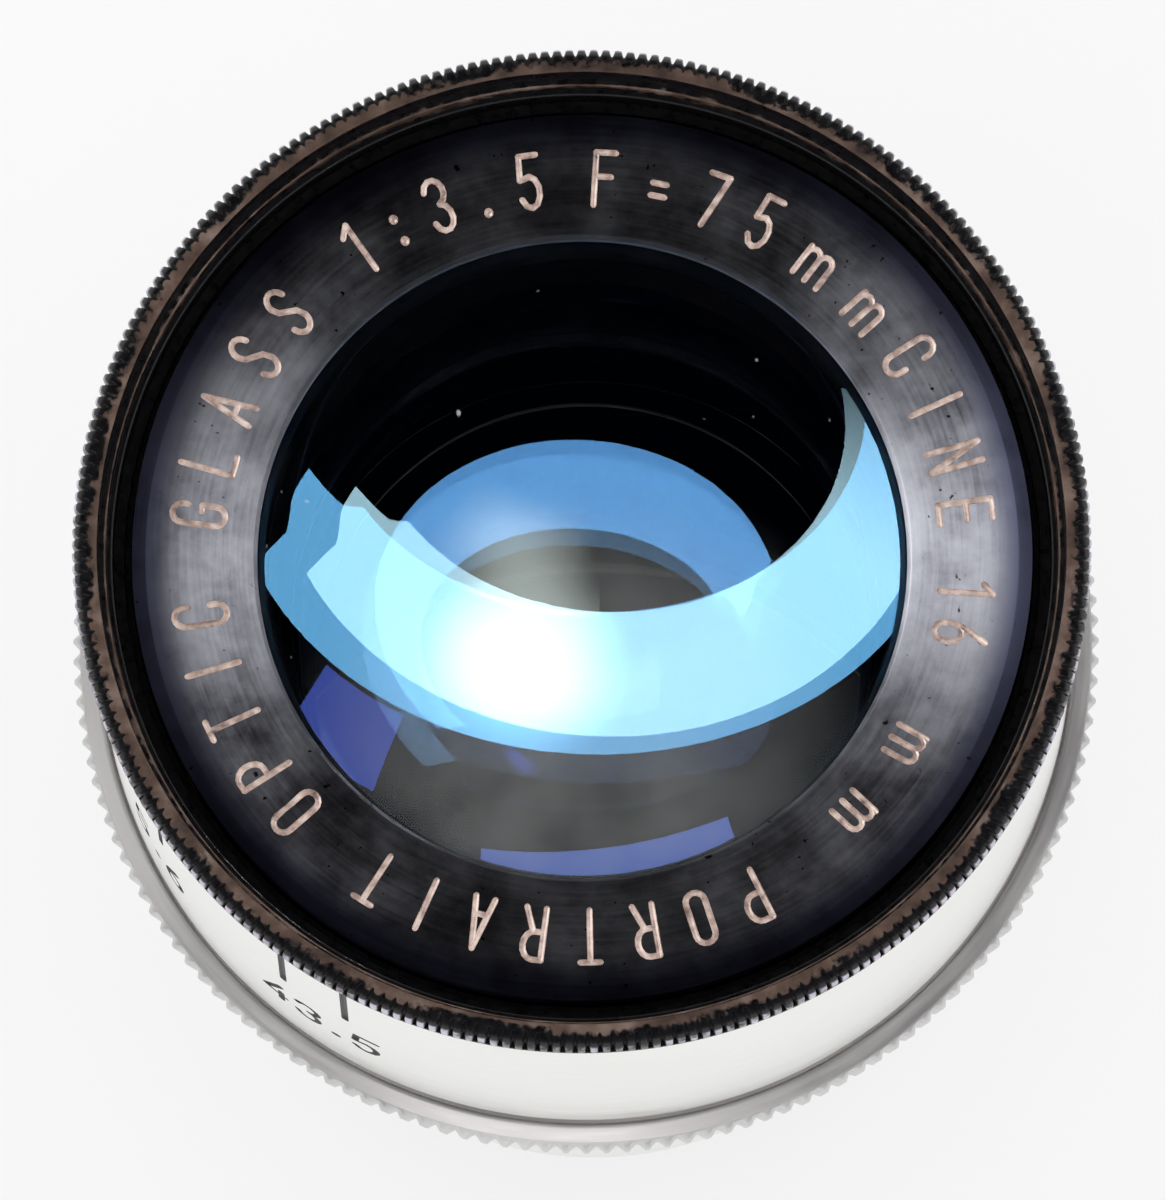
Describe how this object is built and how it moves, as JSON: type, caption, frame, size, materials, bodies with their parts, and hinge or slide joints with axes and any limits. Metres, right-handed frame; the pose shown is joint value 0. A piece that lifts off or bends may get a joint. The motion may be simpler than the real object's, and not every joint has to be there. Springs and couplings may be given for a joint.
{
  "type": "camera lens",
  "caption": "Short telephoto cine camera lens with a knurled aperture ring, a focusing ring, a working iris and a screw mount.",
  "frame": {"origin": "centre of the rear end of the mount thread, on the optical axis", "axes": "+Z along the optical axis towards the front of the lens; +Y towards the top as held on a camera"},
  "size_m": [0.0384, 0.0384, 0.072],
  "materials": {
    "worn_enamel": "black enamel, worn through to copper-brown metal on the rim",
    "name_black": "satin black enamel, fine circular brushing",
    "satin_silver": "satin, with black engraving",
    "grip_metal": "knurled satin metal with a darkened front shoulder",
    "black_paint": "satin black",
    "mount_metal": "satin chrome thread and flange",
    "matt_black": "matt black inside finish",
    "brass": "machined, lightly greased",
    "steel": "turned",
    "blade_steel": "blued spring steel",
    "coated_glass": "polished, blue anti-reflection coating"
  },
  "bodies": {
    "mount": {"mount_ring": "mount_metal", "rear_barrel": "black_paint", "rear_baffle": "matt_black", "guide_sleeve": "brass", "focus_retaining_ring": "matt_black", "focus_stop_pin": "steel"},
    "focus": {"focus_ring": "grip_metal"},
    "head": {"lens_barrel": "matt_black", "scale_barrel": "satin_silver", "scale_lock_screw": "steel", "focus_pin_upper": "steel", "focus_pin_lower": "steel", "name_ring": "name_black", "front_cell": "matt_black", "front_element": "coated_glass", "middle_element": "coated_glass", "middle_retaining_ring": "matt_black", "iris_base_plate": "matt_black", "iris_retaining_ring": "matt_black", "rear_cell": "matt_black", "rear_inner_element": "coated_glass", "rear_outer_element": "coated_glass", "rear_retaining_ring": "matt_black"},
    "aperture": {"aperture_ring": "worn_enamel", "coupling_screw_upper": "steel", "coupling_screw_lower": "steel", "iris_cam_ring": "brass"},
    "blade_01": {"iris_blade_01": "blade_steel"},
    "blade_02": {"iris_blade_02": "blade_steel"},
    "blade_03": {"iris_blade_03": "blade_steel"},
    "blade_04": {"iris_blade_04": "blade_steel"},
    "blade_05": {"iris_blade_05": "blade_steel"},
    "blade_06": {"iris_blade_06": "blade_steel"},
    "blade_07": {"iris_blade_07": "blade_steel"},
    "blade_08": {"iris_blade_08": "blade_steel"},
    "blade_09": {"iris_blade_09": "blade_steel"},
    "blade_10": {"iris_blade_10": "blade_steel"}
  },
  "joints": [
    {"name": "focus_turn", "type": "hinge", "parent": "mount", "child": "focus", "pos_m": [0, 0, 0.045], "axis": [0, 0, 1], "range_deg": [0, 240]},
    {"name": "head_slide", "type": "slide", "parent": "mount", "child": "head", "axis": [0, 0, 1], "range_m": [0, 0.0052]},
    {"name": "aperture_turn", "type": "hinge", "parent": "head", "child": "aperture", "pos_m": [0, 0, 0.0585], "axis": [0, 0, -1], "range_deg": [0, 118.5]},
    {"name": "blade_01_swing", "type": "hinge", "parent": "head", "child": "blade_01", "pos_m": [0.0136, 0, 0.054], "axis": [0, 0, 1], "range_deg": [0, 34.5]},
    {"name": "blade_02_swing", "type": "hinge", "parent": "head", "child": "blade_02", "pos_m": [0.011, 0.00799, 0.054], "axis": [0, 0, 1], "range_deg": [0, 34.5]},
    {"name": "blade_03_swing", "type": "hinge", "parent": "head", "child": "blade_03", "pos_m": [0.0042, 0.01293, 0.054], "axis": [0, 0, 1], "range_deg": [0, 34.5]},
    {"name": "blade_04_swing", "type": "hinge", "parent": "head", "child": "blade_04", "pos_m": [-0.0042, 0.01293, 0.054], "axis": [0, 0, 1], "range_deg": [0, 34.5]},
    {"name": "blade_05_swing", "type": "hinge", "parent": "head", "child": "blade_05", "pos_m": [-0.011, 0.00799, 0.054], "axis": [0, 0, 1], "range_deg": [0, 34.5]},
    {"name": "blade_06_swing", "type": "hinge", "parent": "head", "child": "blade_06", "pos_m": [-0.0136, 0, 0.054], "axis": [0, 0, 1], "range_deg": [0, 34.5]},
    {"name": "blade_07_swing", "type": "hinge", "parent": "head", "child": "blade_07", "pos_m": [-0.011, -0.00799, 0.054], "axis": [0, 0, 1], "range_deg": [0, 34.5]},
    {"name": "blade_08_swing", "type": "hinge", "parent": "head", "child": "blade_08", "pos_m": [-0.0042, -0.01293, 0.054], "axis": [0, 0, 1], "range_deg": [0, 34.5]},
    {"name": "blade_09_swing", "type": "hinge", "parent": "head", "child": "blade_09", "pos_m": [0.0042, -0.01293, 0.054], "axis": [0, 0, 1], "range_deg": [0, 34.5]},
    {"name": "blade_10_swing", "type": "hinge", "parent": "head", "child": "blade_10", "pos_m": [0.011, -0.00799, 0.054], "axis": [0, 0, 1], "range_deg": [0, 34.5]}
  ],
  "couplings": [
    {"joint": "focus_turn", "follows": "head_slide", "rad_per_m": 805.53},
    {"joint": "blade_01_swing", "follows": "aperture_turn", "ratio": 0.2903},
    {"joint": "blade_02_swing", "follows": "aperture_turn", "ratio": 0.2903},
    {"joint": "blade_03_swing", "follows": "aperture_turn", "ratio": 0.2903},
    {"joint": "blade_04_swing", "follows": "aperture_turn", "ratio": 0.2903},
    {"joint": "blade_05_swing", "follows": "aperture_turn", "ratio": 0.2903},
    {"joint": "blade_06_swing", "follows": "aperture_turn", "ratio": 0.2903},
    {"joint": "blade_07_swing", "follows": "aperture_turn", "ratio": 0.2903},
    {"joint": "blade_08_swing", "follows": "aperture_turn", "ratio": 0.2903},
    {"joint": "blade_09_swing", "follows": "aperture_turn", "ratio": 0.2903},
    {"joint": "blade_10_swing", "follows": "aperture_turn", "ratio": 0.2903}
  ]
}
